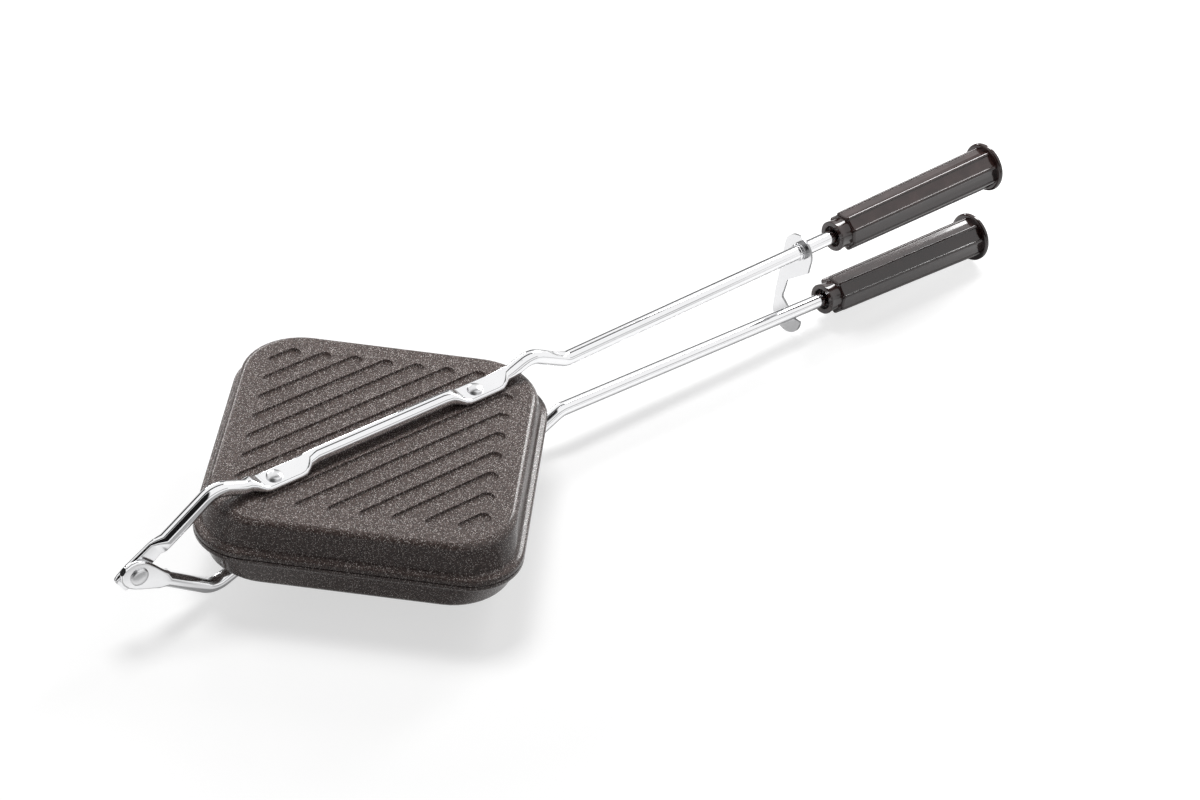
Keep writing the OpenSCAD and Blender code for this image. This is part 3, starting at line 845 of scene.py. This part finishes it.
def turned_along(name, profile):
    """A piece turned about the grip's axis: profile is radius and distance along it."""
    piece = turned(name, Vector((0, 0, 0)), profile, 64)
    bpy.ops.object.mode_set(mode="EDIT")
    bpy.ops.mesh.select_all(action="SELECT")
    bpy.ops.transform.rotate(value=math.radians(-90), orient_axis="Y", center_override=(0, 0, 0))
    close_piece()
    return piece


# Radius and distance along the grip, from the tube's side to the butt
collar_profile = [
    (0.0036, 0.0030), (0.0050, 0.0030), (0.0052, 0.0028), (0.0052, 0.0003), (0.0055, 0),
    (0.0073, 0), (0.0076, 0.0001), (0.0077, 0.0004), (0.00765, 0.0010), (0.00745, 0.0022),
    (0.00728, 0.0036), (0.00722, 0.0050), (0.00728, 0.0063), (0.0074, 0.0074), (0.00755, 0.0083),
    (0.0076, 0.0092),
]
flange_profile = [
    (0.0070, 0.1052), (0.0115, 0.1053), (0.0120, 0.1055), (0.0124, 0.1058), (0.0126, 0.1062),
    (0.0126, 0.1070), (0.0125, 0.1074), (0.01225, 0.1077), (0.0118, 0.1079), (0.0112, 0.1080),
    (0.0106, 0.1079), (0.0098, 0.1077), (0.0004, 0.1075),
]


def glossy_bakelite():
    """Dark brown bakelite: faint mottling of the filler, high gloss, hair-fine rubbing marks."""
    bakelite, tree, shader = new_material("glossy_bakelite")
    place = add_node(tree, "ShaderNodeTexCoord", {}).outputs["Object"]
    dark_brown, light_brown = (0.023, 0.010, 0.009), (0.046, 0.024, 0.022)
    mottle = noise(tree, place, 140, 4)
    # The rubbing marks run along the grip: few to the metre lengthwise, many across
    stretched = {"Vector": place, "Scale": (60, 1400, 1400)}
    marks = add_node(tree, "ShaderNodeMapping", stretched).outputs["Vector"]
    rubbing = noise(tree, marks, 1, 3)
    feed(tree, shader, {
        "Base Color": ramp(tree, mottle, ((0.35, dark_brown), (0.68, light_brown))),
        "Roughness": mapped(tree, rubbing, 0.11, 0.20),
        "Normal": uneven(tree, rubbing, 0.05, 0.0002),
        "IOR": 1.54,
        "Coat Weight": 0.4,
        "Coat Roughness": 0.05,
    })
    return bakelite


bakelite = glossy_bakelite()
for half, turn in (("upper", 13.5), ("lower", 22.5)):
    grip = fluted_body(turn)
    grip.name = half + "_handle"
    carve(grip, turned_along("collar", collar_profile), "UNION")
    carve(grip, turned_along("flange", flange_profile), "UNION")
    on_the_run(grip, grip_place)
    if half == "lower":
        bpy.ops.object.mode_set(mode="EDIT")
        bpy.ops.mesh.select_all(action="SELECT")
        bpy.ops.transform.resize(value=(1, 1, -1), center_override=(0, 0, parting_z))
        close_piece()
    polish(grip, 32)
    paint(grip, bakelite)
    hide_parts(half + "_grip")
    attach(grip, half)


# ---------------------------------------------------------------- floor and light
# Not part of the iron: a white sweep, a large soft light over it, and bright strips
# behind it and at the grips' end. Polished parts see a white tent with dark seams and
# a dark horizon.
bpy.ops.object.select_all(action="DESELECT")
bpy.ops.mesh.primitive_plane_add(size=30, location=(0, 0, 0))
floor = bpy.context.object
floor.name = "floor"


def greys(*stops):
    """The stops of a ramp of greys: where each one stands, and how bright it is."""
    return [(place, (grey, grey, grey)) for place, grey in stops]


def white_sweep():
    """White to the camera, with the iron's shadow; to polished parts it darkens far off."""
    white, tree, shader = new_material("white_sweep")
    place = add_node(tree, "ShaderNodeTexCoord", {}).outputs["Object"]
    parts = add_node(tree, "ShaderNodeSeparateXYZ", {"Vector": place}).outputs
    ray = add_node(tree, "ShaderNodeLightPath", {}).outputs
    # Polished parts see a strip of painted shade under the iron, and the dark behind it
    behind = mapped(tree, parts["Y"], 0.0, 1.0, -0.5, 0.5)
    far = ramp(tree, behind, greys(
        (0.0, 0.45), (0.25, 0.62), (0.484, 0.62), (0.488, 0.15), (0.518, 0.15), (0.522, 0.62),
        (0.57, 0.62), (0.64, 0.0),
    ))
    # To polished parts the floor in front of the plates' near side is darker too: painted shade for
    # their walls to reflect
    beyond = mapped(tree, maths(tree, "ADD", parts["X"], parts["Y"]), 0.1, 1.0, -0.25, -0.22)
    nearer = mapped(tree, parts["Y"], 0.1, 1.0, -0.06, -0.03)
    shown = maths(tree, "MULTIPLY", far, maths(tree, "MAXIMUM", beyond, nearer))
    mirrored = maths(tree, "MULTIPLY", shown, ray["Is Glossy Ray"])
    # To the camera the floor glows less round the plates and more away from them: painted light
    # that leaves the shadow darkest round the plates and paler away from them
    ends = {0: place, 1: (centre_x, 0, 0)}
    away = add_node(tree, "ShaderNodeVectorMath", ends, "DISTANCE").outputs["Value"]
    shadowed = mapped(tree, away, 0.62, 0.95, 0.16, 0.60)
    feed(tree, shader, {
        "Base Color": (0.44, 0.44, 0.44, 1),
        "Roughness": 1,
        "Specular IOR Level": 0,
        "Emission Color": (1, 1, 1, 1),
        "Emission Strength": maths(tree, "MULTIPLY_ADD", ray["Is Camera Ray"], shadowed, mirrored),
    })
    return white


paint(floor, white_sweep())

world = bpy.data.worlds.new("studio")
bpy.context.scene.world = world
world.use_nodes = True
sky = world.node_tree
direction = add_node(sky, "ShaderNodeTexCoord", {}).outputs["Generated"]
parts = add_node(sky, "ShaderNodeSeparateXYZ", {"Vector": direction}).outputs
ray = add_node(sky, "ShaderNodeLightPath", {}).outputs
# The angle round the iron's length: 0 is level behind it, 1 is level in front of it
share = maths(sky, "DIVIDE", maths(sky, "ARCTAN2", parts["Z"], parts["Y"]), math.pi)
seams = ramp(sky, share, greys(
    (0.0, 0.02), (0.12, 0.02), (0.15, 1.0), (0.38, 1.0), (0.39, 0.05), (0.48, 0.05), (0.49, 1.0),
    (0.83, 1.0), (0.845, 0.42), (0.89, 0.42), (0.905, 1.0), (1.0, 0.9),
))
# Past the grips' end the tent has no seams and no dark horizon
walls = maths(sky, "MAXIMUM", mapped(sky, parts["X"], 0.0, 1.0, 0.66, 0.74), seams)
# The dark camera and its stand, seen only by parts that face the camera's end
stand = ramp(sky, share, greys(
    (0.0, 1.0), (0.50, 1.0), (0.52, 0.01), (0.90, 0.01), (0.92, 1.0), (1.0, 1.0),
))
bare = maths(sky, "MAXIMUM", mapped(sky, parts["X"], 0.0, 1.0, -0.20, -0.08), stand)
tent = maths(sky, "MULTIPLY", bare, walls)
# The camera sees white, rough parts a dim even light, and polished parts the tent
plain = mapped(sky, ray["Is Camera Ray"], 0.17, 1.0)
seen = {"Factor": ray["Is Glossy Ray"], "A": plain, "B": tent}
strength = add_node(sky, "ShaderNodeMix", seen).outputs["Result"]
feed(sky, sky.nodes["Background"], {"Color": (1, 1, 1, 1), "Strength": strength})


def soft_lamp(name, place, length, width, depth, energy):
    """A flat lamp that faces the iron, with its long side turned to run along length."""
    bpy.ops.object.select_all(action="DESELECT")
    bpy.ops.object.light_add(type="AREA", location=place)
    lamp = bpy.context.object
    lamp.name = name
    lamp.data.shape = "RECTANGLE"
    lamp.data.size = width
    lamp.data.size_y = depth
    lamp.data.energy = energy
    outward = Vector(place).normalized()
    across = outward.cross(Vector(length)).normalized()
    lamp.rotation_euler = Matrix((across.cross(outward), across, outward)).transposed().to_euler()
    return lamp


soft_lamp("soft_box", (-0.05, 0.38, 1.3), (1, 0, 0), 0.6, 0.5, 12.5).visible_glossy = False
soft_lamp("back_strip", (0.2, 1.1, 0.36), (1, -0.18, 0), 0.6, 0.12, 2.7)
soft_lamp("strip", (0.53, 0.18, 0.42), (-0.642, 0.08, 0.762), 0.4, 0.14, 2.1)

bpy.context.scene.view_settings.view_transform = "Standard"
